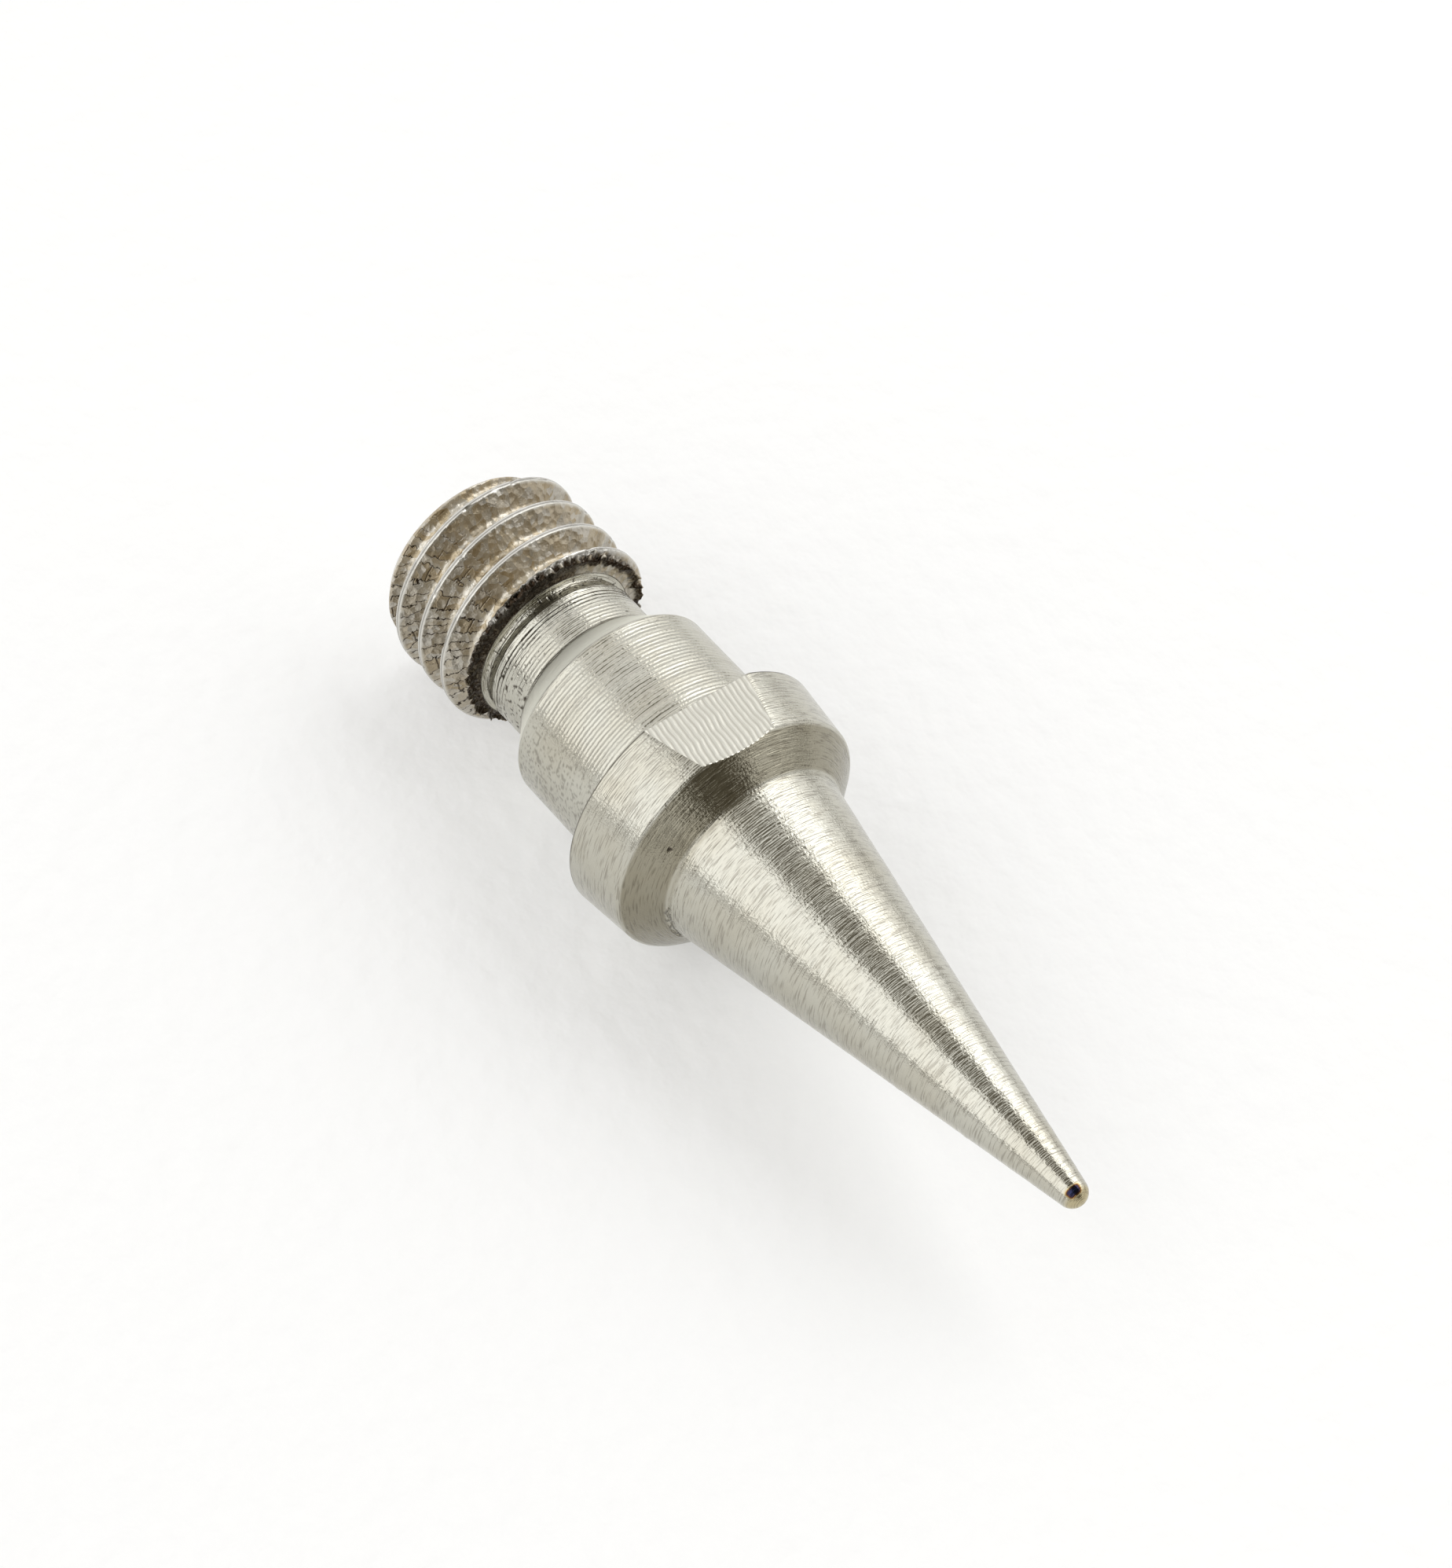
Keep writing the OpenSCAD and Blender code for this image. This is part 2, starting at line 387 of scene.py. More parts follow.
# %% Lay the thread's rows along its helix
# Places in one pitch, counted from the middle of a crest: here its flat ends
CREST_EDGE = 1 / 16
crest_rows = np.array([0, 0.03, 0.05, CREST_EDGE, 0.072, 0.09])
half_rows = np.concatenate([crest_rows, np.linspace(0.115, 0.5, 15)])
row_shares = np.concatenate([half_rows, 1 - half_rows[-2:0:-1]])
PER_PITCH = len(row_shares)
first = math.floor((rear_x - crest_phase) / pitch - 1) * PER_PITCH
last = math.ceil((wall_x - crest_phase) / pitch) * PER_PITCH
helix = np.arange(first, last + 1)[:, None]
helix_x = crest_phase + pitch * (turn + helix // PER_PITCH + row_shares[helix % PER_PITCH])
start = np.argmax(helix_x > rear_x + 1e-4, axis=0) - 1
stop = np.argmax(helix_x > wall_x - 1e-4, axis=0)
thread_x = np.clip(helix_x, rear_x, wall_x)
from_crest = (((thread_x - crest_phase) / pitch - turn + 0.5) % 1) - 0.5
off_crest = np.abs(from_crest)
print("thread rows:", len(helix))

# %% [markdown]
# ISO flanks lean 30 degrees each way. The tool's nose was round, so the root is a curve and not a
# flat. At the rear a cone, the lead chamfer, cuts the thread down so that it starts in its hole.

# %% Give the rows the thread's form
LEAD_LENGTH = 0.6
PROFILE_AT = [0, CREST_EDGE, 0.34, 0.4, 0.5]
PROFILE_R = [crest_r, crest_r, root_r + 0.09, root_r + 0.015, root_r]
thread_r = np.interp(off_crest, PROFILE_AT, PROFILE_R)
lead_cone = lead_r + (crest_r - lead_r) * np.clip((thread_x - rear_x) / LEAD_LENGTH, 0, 1)
# Metal that the grooving tool pushed up against the last crest, where that crest is near the wall
wall_gap = ((wall_x - crest_phase) / pitch - turn + 0.5) % 1 - 0.5
last_flank = (thread_x > wall_x - pitch / 2) & (from_crest > 0) & (from_crest <= wall_gap + 1e-6)
pushed = crest_r - 0.05 - 0.5 * pitch * off_crest
pushed = thread_r + np.maximum(pushed - thread_r, 0) * (1 - ramp(wall_gap, 0.32, 0.48))
thread_r = np.where(last_flank, pushed, thread_r)
on_lead = ramp(thread_r - lead_cone, -0.01, 0.01)
on_flank = band(off_crest, 0.08, 0.37, 0.015) * (1 - on_lead)
thread_r = np.minimum(thread_r, lead_cone)
print("depth of the thread, mm:", round(float(crest_r - root_r), 3))

# %% [markdown]
# The tool tore the flanks into scales about 0.4 mm long, as it does in a gummy steel. Each scale is
# a small plate that rises towards one end, with a crack between it and the next. The cracks are open
# on one side of the part and closed on the other. The mesh tilts the plates, and each point also
# keeps its place in the row of scales, so that the finish can draw the cracks there, dark with
# painted shade on the open side.

# %% Tear the flanks
SCALE_LENGTH = 0.4
PLATE_RISE = 0.035
LUMP_HEIGHT = 0.035
NICK_DEPTH = 0.04
SCALES = round(FULL_TURN * crest_r / SCALE_LENGTH)
lean = 1.6 * off_crest * np.sign(from_crest)
stray = 1.3 * (noise(thread_x / 0.35, turn, 26, 81) - 0.5)
# A count of scales around the part: a scale ends and the next begins where it is whole
scale_at = turn * SCALES + lean + stray
scale_no = np.floor(scale_at).astype(int) % SCALES
CREST_KINDS = 7
crest_no = np.floor((thread_x - crest_phase) / pitch - turn + 0.5).astype(int) % CREST_KINDS
luck = np.random.default_rng(82).random((CREST_KINDS, SCALES))[crest_no, scale_no]
CRACKED_TURN = 0.55
cracked = on_flank * ramp(np.cos(FULL_TURN * (turn - CRACKED_TURN)), -0.3, 0.6)
plate = on_flank * (scale_at % 1) * (0.3 + 0.7 * luck)
lumps = on_flank * (noise(thread_x / 0.1, turn, 110, 83) - 0.5)
nicks = ramp(noise(thread_x / 0.2, turn, 60, 84), 0.84, 0.95) * band(off_crest, 0, 0.085, 0.02)
thread_r = thread_r - PLATE_RISE * plate * (0.4 + 0.6 * cracked) + LUMP_HEIGHT * lumps
thread_r = thread_r - NICK_DEPTH * nicks
thread_torn_and_shade = on_flank * (0.1 + 0.2 * luck)
# The rear side of each crest is darker all the way round
thread_torn_and_shade = thread_torn_and_shade + 0.4 * band(from_crest, -0.19, -0.075, 0.02) * (1 - on_lead)
print("scales in a turn:", SCALES)

# %% [markdown]
# ## The wall behind the thread
# The thread stops at a square wall, where the grooving tool cut it off. The wall's rim goes up and
# down, because the tool met the helix at every height. Where it cut through the last crest it pushed
# up a ragged, dark burr, which is made from lumps of noise on the thread's last ring and the wall.
# Its deeper bites are darker still, with painted shade.

# %% Raise the burr
WALL_ROWS = 9
BURR_REACH = 0.2
BITE_DEPTH = 0.26
BURR_HEIGHT = 0.09
LIP_REACH = 0.14
LIP_GRIT = 0.05
column = np.arange(COLUMNS)
rim_r = thread_r[stop, column]
ragged = ramp(rim_r, crest_r - 0.55, crest_r - 0.3)
near_wall = ramp(thread_x, wall_x - BURR_REACH, wall_x - 0.03) * ragged
bites = noise(thread_x / 0.09, turn, 120, 90) ** 2 + 0.5 * noise(thread_x / 0.05, turn, 230, 95)
thread_r = thread_r - near_wall * (BITE_DEPTH * bites - BURR_HEIGHT)
# The deeper bites of the burr get painted shade
thread_torn_and_shade = np.maximum(thread_torn_and_shade, near_wall * ramp(bites, 0.1, 0.5))
rim_r = thread_r[stop, column]
lip = ragged * (LIP_REACH * noise(0, turn, 130, 91) ** 2 + LIP_GRIT * noise(0, turn, 260, 96))
thread_x[stop, column] += lip
print("burr reaches", round(float(lip.max()), 3), "mm past the wall")

# %% Build the wall and the rear face
WALL_HOLLOW = 0.05
# Each row's share of the way from the thread's rim down to the groove
down = (np.arange(1, WALL_ROWS + 1) / WALL_ROWS)[:, None]
wall_r = rim_r + (turned[0, 1] - rim_r) * down
dip = WALL_HOLLOW * np.sin(math.pi * down) * (noise(down * 7, turn, 120, 92) - 1)
wall_row_x = wall_x + lip * (1 - down) ** 2 + dip
FACE_ROWS = 14
face_share = (np.arange(1, FACE_ROWS) / FACE_ROWS)[:, None]
face_r = thread_r[start, column] * face_share
face_x = rear_x + 0.004 * noise(face_share * 40, turn, 4, 93)
print("rows on the wall and the rear face:", WALL_ROWS, FACE_ROWS)

# %% [markdown]
# ## One closed mesh
# The stretches join into one grid of rows and columns, with a single point at each end. Numbering
# the points one by one keeps the mesh closed, and lets each stretch have its own finish.

# %% Number the points and join them


def points_of(x, r, around):
    """Points from their places along X, their radii and their angles around it."""
    x, r, around = np.broadcast_arrays(x, r, around)
    return np.stack([x, r * np.cos(around), r * np.sin(around)], axis=-1)


straight = FULL_TURN * turn
blocks = [
    points_of(face_x, face_r, straight),
    points_of(thread_x, thread_r, straight),
    points_of(wall_row_x, wall_r, straight),
    points_of(body_x[1:], body_r[1:], angle[1:]),
]
starts = np.cumsum([0] + [block.shape[0] * COLUMNS for block in blocks])
number = [np.arange(b.shape[0] * COLUMNS).reshape(-1, COLUMNS) + s for b, s in zip(blocks, starts)]
rear_pole = starts[-1]
tip_pole = rear_pole + 1
points = np.vstack([block.reshape(-1, 3) for block in blocks] + [[[rear_x, 0, 0], [tip_x, 0, 0]]])
# A row that runs past an end plane takes the number of the column's point on that plane
folded = np.clip(helix - first, start, stop)
thread_no = number[1][folded, column]
first_ring, last_ring = thread_no[0], thread_no[-1]


def quads(rows, beside=None):
    """The four corners of each face between neighbouring rows. beside holds each row's next column."""
    beside = np.roll(rows, -1, axis=1) if beside is None else beside
    corners = [rows[:-1], beside[:-1], beside[1:], rows[1:]]
    return np.stack(corners, axis=-1).reshape(-1, 4)


over_seam = np.clip(helix[:, 0] - first + PER_PITCH, 0, len(helix) - 1)
thread_beside = np.column_stack([thread_no[:, 1:], thread_no[over_seam, 0]])
scale_beside = np.column_stack([scale_at[:, 1:], scale_at[over_seam, 0] + SCALES])
rear_rows = np.vstack([np.full(COLUMNS, rear_pole), number[0], first_ring])
wall_rows = np.vstack([last_ring, number[2]])
turned_rows = np.vstack([number[2][-1], number[3], np.full(COLUMNS, tip_pole)])
thread_faces = quads(thread_no, thread_beside)
parts = [quads(rear_rows), thread_faces, quads(wall_rows), quads(turned_rows)]
faces = np.vstack(parts)
flat_cells = on_flat[:-1] & on_flat[1:]
flat_cells &= np.roll(flat_cells, -1, axis=1)
flat_cells = np.vstack([flat_cells, np.zeros((1, COLUMNS), bool)])
TURNED, THREADED, MILLED = range(3)
finish = np.concatenate([
    np.full(len(parts[0]), TURNED),
    np.full(len(parts[1]), THREADED),
    np.full(len(parts[2]), THREADED),
    np.where(flat_cells, MILLED, TURNED).ravel(),
])
print("points:", len(points), "faces:", len(faces))

# %% Drop the collapsed faces
corner_kept = faces != np.roll(faces, 1, axis=1)
corner_count = corner_kept.sum(axis=1)
whole = corner_count >= 3
used, loops = np.unique(faces[whole][corner_kept[whole]], return_inverse=True)
loop_start = np.cumsum(corner_count[whole]) - corner_count[whole]
print("faces kept:", int(whole.sum()))

# %% [markdown]
# ## Marks for the finishes
# The same metal looks different where it is torn, darker, rougher or heated, and where painted shade,
# painted light and a painted reflection lie on it. A map could hold that, but a map needs
# unwrapping. Here each point carries a few numbers, and the finishes read them by name.

# %% Mark torn metal and painted shade
torn_and_shade = np.zeros(len(points))
torn_and_shade[number[1]] = thread_torn_and_shade
# The burr is thinner over a short stretch, and the wall under it gets painted shade over most of the turn
crust = (1 - ramp(down, 0.3, 0.6)) * (1 - 0.45 * band(turn, 0.37, 0.46, 0.04))
# Painted shade on the wall, which stands in the recess between the thread and the groove
painted_wall_shade = 0.3 + 0.7 * ramp(turn, 0.16, 0.24)
torn_and_shade[number[2]] = np.maximum(crust, painted_wall_shade) - 0.25 * noise(down * 8, turn, 90, 94) ** 2
# Painted shade: a dark line, broken by noise, along the collar's rear edge
seat_edge = band(row_x, seat_x - 0.03, seat_x + 0.045, 0.015) * (row_r > collar_r - 0.06)
painted_edge_shade = seat_edge * ramp(noise(0, turn, 14, 62), 0.3, 0.55)
# Pits and the pore get darker the deeper they are: painted shade in the hollows. Chips are darkened as torn
# metal
PIT_DEPTH = 0.01
turned_torn_and_shade = np.clip(-hollow / PIT_DEPTH + 0.7 * chips + 0.8 * painted_edge_shade, 0, 1)
torn_and_shade[number[3]] = turned_torn_and_shade[1:]
print("points on torn metal:", int((torn_and_shade > 0.5).sum()))

# %% Mark the darker bevel, the rough taper with its painted light, heat tint and a painted reflection
darker_bevel = np.zeros(len(points))
# The bevel and a narrow ring at the foot of the cone are darker and a little warmer
darker_bevel[number[3]] = (on_bevel + 0.5 * band(row_x, cone_x - 0.02, cone_x + 0.1, 0.05))[1:]
satin_and_painted_light = np.zeros(len(points))
# The taper is rougher, and painted paler, more so towards the pilot: painted light for the bright reflection
# that it shows
on_taper = band(row_x, neck_x + 0.05, pilot_x - 0.02, 0.05)
satin_and_painted_light[number[3]] = on_taper[1:] * (0.75 + 0.25 * ramp(row_x, neck_x, pilot_x)[1:])
tint = np.zeros(len(points))
PAINTED_REFLECTION_TURN = 0.305
STRAW = 0.3
# Painted reflection: a spot on one side of the nose that runs through brown to blue, for the dark reflection
# on the ball with its coloured fringes. The straw ring all round is heat tint
painted_reflection = band(row_x, nose_ring - 0.02, nose_ring + 0.19, 0.06)
painted_reflection = painted_reflection * ramp(np.cos(FULL_TURN * (turn - PAINTED_REFLECTION_TURN)), 0.75, 0.97)
tint[number[3]] = np.maximum(STRAW * ramp(row_x, nose_ring, nose_ring + 0.2), painted_reflection)[1:]
tint[tip_pole] = STRAW
print("points with heat tint:", int((tint > 0).sum()))

# %% Mark the lines, the flanks and the scales
coarse = np.zeros(len(points))
coarse[number[3]] = (on_pilot + 0.8 * on_neck)[1:]
flank = np.ones(len(points))
flank[number[1]] = off_crest
along_line = np.hypot(points[:, 1], points[:, 2]) * MM
along_line[number[3]] = run[1:] * MM
along_line[tip_pole] = run[-1, 0] * MM
crackle = np.zeros(len(points))
crackle[number[1]] = cracked
scale_corners = np.zeros(faces.shape)
scale_corners[len(parts[0]):len(parts[0]) + len(parts[1])] = quads(scale_at, scale_beside)
print("length of the turned profile, mm:", round(float(run[-1, 0]), 2))

# %% Build the piece
mesh = bpy.data.meshes.new("turned_center_point")
mesh.vertices.add(len(used))
mesh.loops.add(len(loops))
mesh.polygons.add(len(loop_start))
mesh.vertices.foreach_set("co", (points[used] * MM).ravel())
mesh.loops.foreach_set("vertex_index", loops.ravel())
mesh.polygons.foreach_set("loop_start", loop_start)
mesh.polygons.foreach_set("material_index", finish[whole])
mesh.update(calc_edges=True)
mesh.shade_smooth()
marks = {"torn_and_shade": torn_and_shade, "darker_bevel": darker_bevel, "satin_and_painted_light": satin_and_painted_light, "coarse": coarse, "tint": tint}
marks |= {"flank": flank, "crackle": crackle, "along": along_line}
for name, values in marks.items():
    layer = mesh.attributes.new(name, "FLOAT", "POINT")
    layer.data.foreach_set("value", values[used])
scale_layer = mesh.attributes.new("scale", "FLOAT", "CORNER")
scale_layer.data.foreach_set("value", scale_corners[whole][corner_kept[whole]])
piece = bpy.data.objects.new("turned_center_point", mesh)
bpy.context.scene.collection.objects.link(piece)
print("mesh repaired:", mesh.validate(), "points:", len(used), "faces:", len(loop_start))

# %% [markdown]
# ## Node helpers
# A material is a tree of nodes. One function adds a node, sets its values and links its inputs, so
# that each finish reads as a list of what happens to the surface.

# %% Colours and nodes


def linear(hex_code):
    """The linear RGBA colour of an sRGB hex code."""
    shares = [int(hex_code[i:i + 2], 16) / 255 for i in (1, 3, 5)]
    return [c / 12.92 if c <= 0.04045 else ((c + 0.055) / 1.055) ** 2.4 for c in shares] + [1]


# Numbers stand for a node's inputs in order. On a Map Range, 1 and 2 are the range that it reads and
# 3 and 4 the range that it gives; on a Mix of colours, 0 is the factor and 6 and 7 are the colours.
def add(tree, kind, settings, links=()):
    """Adds a node. settings are its properties and input values; links are its linked inputs."""
    node = tree.nodes.new(kind)
    for name, value in settings.items():
        if isinstance(name, int) or name in node.inputs:
            node.inputs[name].default_value = value
        else:
            setattr(node, name, value)
    for name, output in dict(links).items():
        tree.links.new(output, node.inputs[name])
    return node


def new_tree(name):
    """A new material's node tree, with its shader and its output joined."""
    material = bpy.data.materials.new(name)
    material.use_nodes = True
    tree = material.node_tree
    tree.nodes.clear()
    shader = add(tree, "ShaderNodeBsdfPrincipled", {"Metallic": 1.0})
    add(tree, "ShaderNodeOutputMaterial", {}, {"Surface": shader.outputs[0]})
    return material, tree, shader


# %% [markdown]
# ## Turned stainless steel
# The metal is stainless steel, turned on a lathe and not polished. To the eye it is a bright, warm
# grey metal with fine grooves that run around it, so it spreads a reflection along the part and keeps
# it sharp across. An anisotropic shader does that, and noise stretched around the part draws the
# single grooves, as bumps with painted shade in them. They are finer on the real part, and they are
# drawn as coarse as they need to show.

# %% Lines that run around the part
turned_steel, tree, shader = new_tree("turned_stainless_steel")
place = add(tree, "ShaderNodeTexCoord", {})
LINE_WIDTH = 0.038 * MM
LINE_LENGTH = 0.5 * MM
# Lines are counted along the profile, so they run around the ends and steps as well
along_mark = add(tree, "ShaderNodeAttribute", {"attribute_name": "along"})
section = add(tree, "ShaderNodeSeparateXYZ", {}, {0: place.outputs["Object"]})
unrolled = add(tree, "ShaderNodeCombineXYZ", {},
               {0: along_mark.outputs["Fac"], 1: section.outputs["Y"], 2: section.outputs["Z"]})
line_scale = (1 / LINE_WIDTH, 1 / LINE_LENGTH, 1 / LINE_LENGTH)
lines_at = add(tree, "ShaderNodeMapping", {"Scale": line_scale}, {"Vector": unrolled.outputs[0]})
lines = add(tree, "ShaderNodeTexNoise", {"Scale": 1.0, "Detail": 1.5}, {"Vector": lines_at.outputs[0]})
print("line width, mm:", LINE_WIDTH / MM)

# %% Colour of the turned steel
SPECK = 0.07 * MM
speck = add(tree, "ShaderNodeTexNoise", {"Scale": 1 / SPECK, "Detail": 2.0},
            {"Vector": place.outputs["Object"]})
CLOUD = 1.6 * MM
cloud = add(tree, "ShaderNodeTexNoise", {"Scale": 1 / CLOUD, "Detail": 3.0},
            {"Vector": place.outputs["Object"]})
warmth = add(tree, "ShaderNodeMapRange", {1: 0.4, 2: 0.7}, {0: cloud.outputs[0]})
steel = add(tree, "ShaderNodeMix", {"data_type": "RGBA", 6: linear("#C1BFB4"), 7: linear("#BBB7A9")},
            {0: warmth.outputs[0]})
coarse_mark = add(tree, "ShaderNodeAttribute", {"attribute_name": "coarse"})
fineness = add(tree, "ShaderNodeMapRange", {3: 1.0, 4: 0.3}, {0: coarse_mark.outputs["Fac"]})
# Painted shade darkens the bottom of each groove
groove = add(tree, "ShaderNodeMapRange", {1: 0.34, 2: 0.48, 3: 0.6, 4: 0.0}, {0: lines.outputs[0]})
painted_groove_shade = add(tree, "ShaderNodeMath", {"operation": "MULTIPLY"},
                  {0: groove.outputs[0], 1: fineness.outputs[0]})
lined = add(tree, "ShaderNodeMix", {"data_type": "RGBA", 7: linear("#8A857A")},
            {0: painted_groove_shade.outputs[0], 6: steel.outputs[2]})
darker_bevel_mark = add(tree, "ShaderNodeAttribute", {"attribute_name": "darker_bevel"})
tinted = add(tree, "ShaderNodeMix", {"data_type": "RGBA", "blend_type": "MULTIPLY", 7: linear("#C9C5BB")},
             {0: darker_bevel_mark.outputs["Fac"], 6: lined.outputs[2]})
# Torn metal darkens the steel here, and so does painted shade in the pits and along the collar's rear edge
turned_torn_and_shade_mark = add(tree, "ShaderNodeAttribute", {"attribute_name": "torn_and_shade"})
darkened = add(tree, "ShaderNodeMix", {"data_type": "RGBA", 7: linear("#4A443B")},
              {0: turned_torn_and_shade_mark.outputs["Fac"], 6: tinted.outputs[2]})
# Painted light: the taper is paler, and it is rougher too
satin_and_painted_light_mark = add(tree, "ShaderNodeAttribute", {"attribute_name": "satin_and_painted_light"})
paled = add(tree, "ShaderNodeMix", {"data_type": "RGBA", 7: linear("#E2E1D6")},
            {0: satin_and_painted_light_mark.outputs["Fac"], 6: darkened.outputs[2]})
print("speck and cloud, mm:", SPECK / MM, CLOUD / MM)

# %% [markdown]
# ## Heat tint and a painted reflection
# A tip that runs hot against the work grows a thin film of oxide. The thicker the film, the deeper
# its colour: straw first, then brown, then blue. A colour ramp holds that order. The straw ring round
# the nose is heat tint. The spot on one side of it, which runs to brown and blue, is a painted
# reflection: the dark reflection on the ball with its coloured fringes.

# %% Heat tint and a painted reflection on the nose
tint_mark = add(tree, "ShaderNodeAttribute", {"attribute_name": "tint"})
oxide_and_reflection = add(tree, "ShaderNodeValToRGB", {}, {0: tint_mark.outputs["Fac"]})
OXIDE_AND_REFLECTION_COLOURS = [(0.0, "#FFFFFF"), (0.3, "#F1E6C8"), (0.5, "#C49A60"), (0.7, "#6A4A44"), (1.0, "#454B78")]
while len(oxide_and_reflection.color_ramp.elements) < len(OXIDE_AND_REFLECTION_COLOURS):
    oxide_and_reflection.color_ramp.elements.new(1.0)
for ramp_stop, (ramp_place, colour) in zip(oxide_and_reflection.color_ramp.elements, OXIDE_AND_REFLECTION_COLOURS):
    ramp_stop.position = ramp_place
    ramp_stop.color = linear(colour)
tip_coloured = add(tree, "ShaderNodeMix", {"data_type": "RGBA", "blend_type": "MULTIPLY", 0: 1.0},
               {6: paled.outputs[2], 7: oxide_and_reflection.outputs[0]})
print("oxide colours:", len(OXIDE_AND_REFLECTION_COLOURS))

# %% Gloss and relief of the turned steel
gloss = add(tree, "ShaderNodeMapRange", {1: 0.3, 2: 0.7, 3: 0.13, 4: 0.22}, {0: lines.outputs[0]})
dulled = add(tree, "ShaderNodeMath", {"operation": "MULTIPLY_ADD", 1: 0.4},
             {0: satin_and_painted_light_mark.outputs["Fac"], 2: gloss.outputs[0]})
fine_lines = add(tree, "ShaderNodeMath", {"operation": "MULTIPLY"},
                 {0: lines.outputs[0], 1: fineness.outputs[0]})
relief = add(tree, "ShaderNodeMath", {"operation": "MULTIPLY_ADD", 1: 0.45},
             {0: speck.outputs[0], 2: fine_lines.outputs[0]})
LINE_DEPTH = 0.02 * MM
bump = add(tree, "ShaderNodeBump", {"Strength": 1.0, "Distance": LINE_DEPTH},
           {"Height": relief.outputs[0]})
around = add(tree, "ShaderNodeTangent", {"direction_type": "RADIAL", "axis": "X"})
tree.links.new(tip_coloured.outputs[2], shader.inputs["Base Color"])
tree.links.new(dulled.outputs[0], shader.inputs["Roughness"])
tree.links.new(bump.outputs[0], shader.inputs["Normal"])
tree.links.new(around.outputs[0], shader.inputs["Tangent"])
shader.inputs["Anisotropic"].default_value = 0.4
shader.inputs["Anisotropic Rotation"].default_value = 0.25
print("line depth, mm:", LINE_DEPTH / MM)

# %% [markdown]
# ## Threaded stainless steel
# The metal is the same stainless steel, but a thread tool cut it and tore it. To the eye the flanks
# are brown-grey and rough, each scale in a slightly different tone, while the crests are what is left
# of the smooth turned surface, and stay bright, with painted highlights along their edges. The dark
# cracks, painted shade, follow the places that the mesh keeps for the scales: where that number is
# whole, one scale ends and the next begins.

# %% Read the marks of the thread
threaded_steel, tree, shader = new_tree("threaded_stainless_steel")
place = add(tree, "ShaderNodeTexCoord", {})
GRAIN = 0.06 * MM
grain = add(tree, "ShaderNodeTexNoise", {"Scale": 1 / GRAIN, "Detail": 3.0},
            {"Vector": place.outputs["Object"]})
PATCH = 0.22 * MM
patches = add(tree, "ShaderNodeTexVoronoi", {"Scale": 1 / PATCH}, {"Vector": place.outputs["Object"]})
patch_tone = add(tree, "ShaderNodeSeparateColor", {}, {0: patches.outputs["Color"]})
scale_mark = add(tree, "ShaderNodeAttribute", {"attribute_name": "scale"})
flank_mark = add(tree, "ShaderNodeAttribute", {"attribute_name": "flank"})
crackle_mark = add(tree, "ShaderNodeAttribute", {"attribute_name": "crackle"})
thread_torn_and_shade_mark = add(tree, "ShaderNodeAttribute", {"attribute_name": "torn_and_shade"})
print("grain and patches of the flanks, mm:", GRAIN / MM, PATCH / MM)

# %% Cracks between the scales and across them, with painted shade
JAG = 0.15 * MM
jag = add(tree, "ShaderNodeTexNoise", {"Scale": 1 / JAG, "Detail": 2.0}, {"Vector": place.outputs["Object"]})
jagged = add(tree, "ShaderNodeMath", {"operation": "MULTIPLY_ADD", 1: 1.1},
             {0: jag.outputs[0], 2: scale_mark.outputs["Fac"]})
to_crack = add(tree, "ShaderNodeMath", {"operation": "PINGPONG", 1: 0.5}, {0: jagged.outputs[0]})
crack = add(tree, "ShaderNodeMapRange", {1: 0.03, 2: 0.08, 3: 1.0, 4: 0.0}, {0: to_crack.outputs[0]})
scale_number = add(tree, "ShaderNodeMath", {"operation": "FLOOR"}, {0: jagged.outputs[0]})
scale_tone = add(tree, "ShaderNodeTexWhiteNoise", {"noise_dimensions": "1D"},
                 {"W": scale_number.outputs[0]})
split_at = add(tree, "ShaderNodeMapRange", {3: -0.2, 4: 0.34}, {0: scale_tone.outputs["Value"]})
split_off = add(tree, "ShaderNodeMath", {"operation": "SUBTRACT"},
                {0: flank_mark.outputs["Fac"], 1: split_at.outputs[0]})
split_far = add(tree, "ShaderNodeMath", {"operation": "ABSOLUTE"}, {0: split_off.outputs[0]})
split = add(tree, "ShaderNodeMapRange", {1: 0.005, 2: 0.014, 3: 0.8, 4: 0.0},
            {0: split_far.outputs[0]})
cracks = add(tree, "ShaderNodeMath", {"operation": "MAXIMUM"},
             {0: crack.outputs[0], 1: split.outputs[0]})
# Painted shade in the cracks, only on the side of the part where they open
shaded_cracks = add(tree, "ShaderNodeMath", {"operation": "MULTIPLY"},
                  {0: cracks.outputs[0], 1: crackle_mark.outputs["Fac"]})
print("scales that can have a crack:", SCALES)

# %% Colour of the thread
brown = add(tree, "ShaderNodeMix", {"data_type": "RGBA", 6: linear("#D2CBBC"), 7: linear("#B3A386")},
            {0: scale_tone.outputs["Value"]})
fleck = add(tree, "ShaderNodeMapRange", {1: 0.6, 2: 0.8, 4: 0.6}, {0: patch_tone.outputs[0]})
flecked = add(tree, "ShaderNodeMix", {"data_type": "RGBA", 7: linear("#D9D6CE")},
              {0: fleck.outputs[0], 6: brown.outputs[2]})
flank_share = add(tree, "ShaderNodeMapRange", {1: 0.055, 2: 0.1}, {0: flank_mark.outputs["Fac"]})
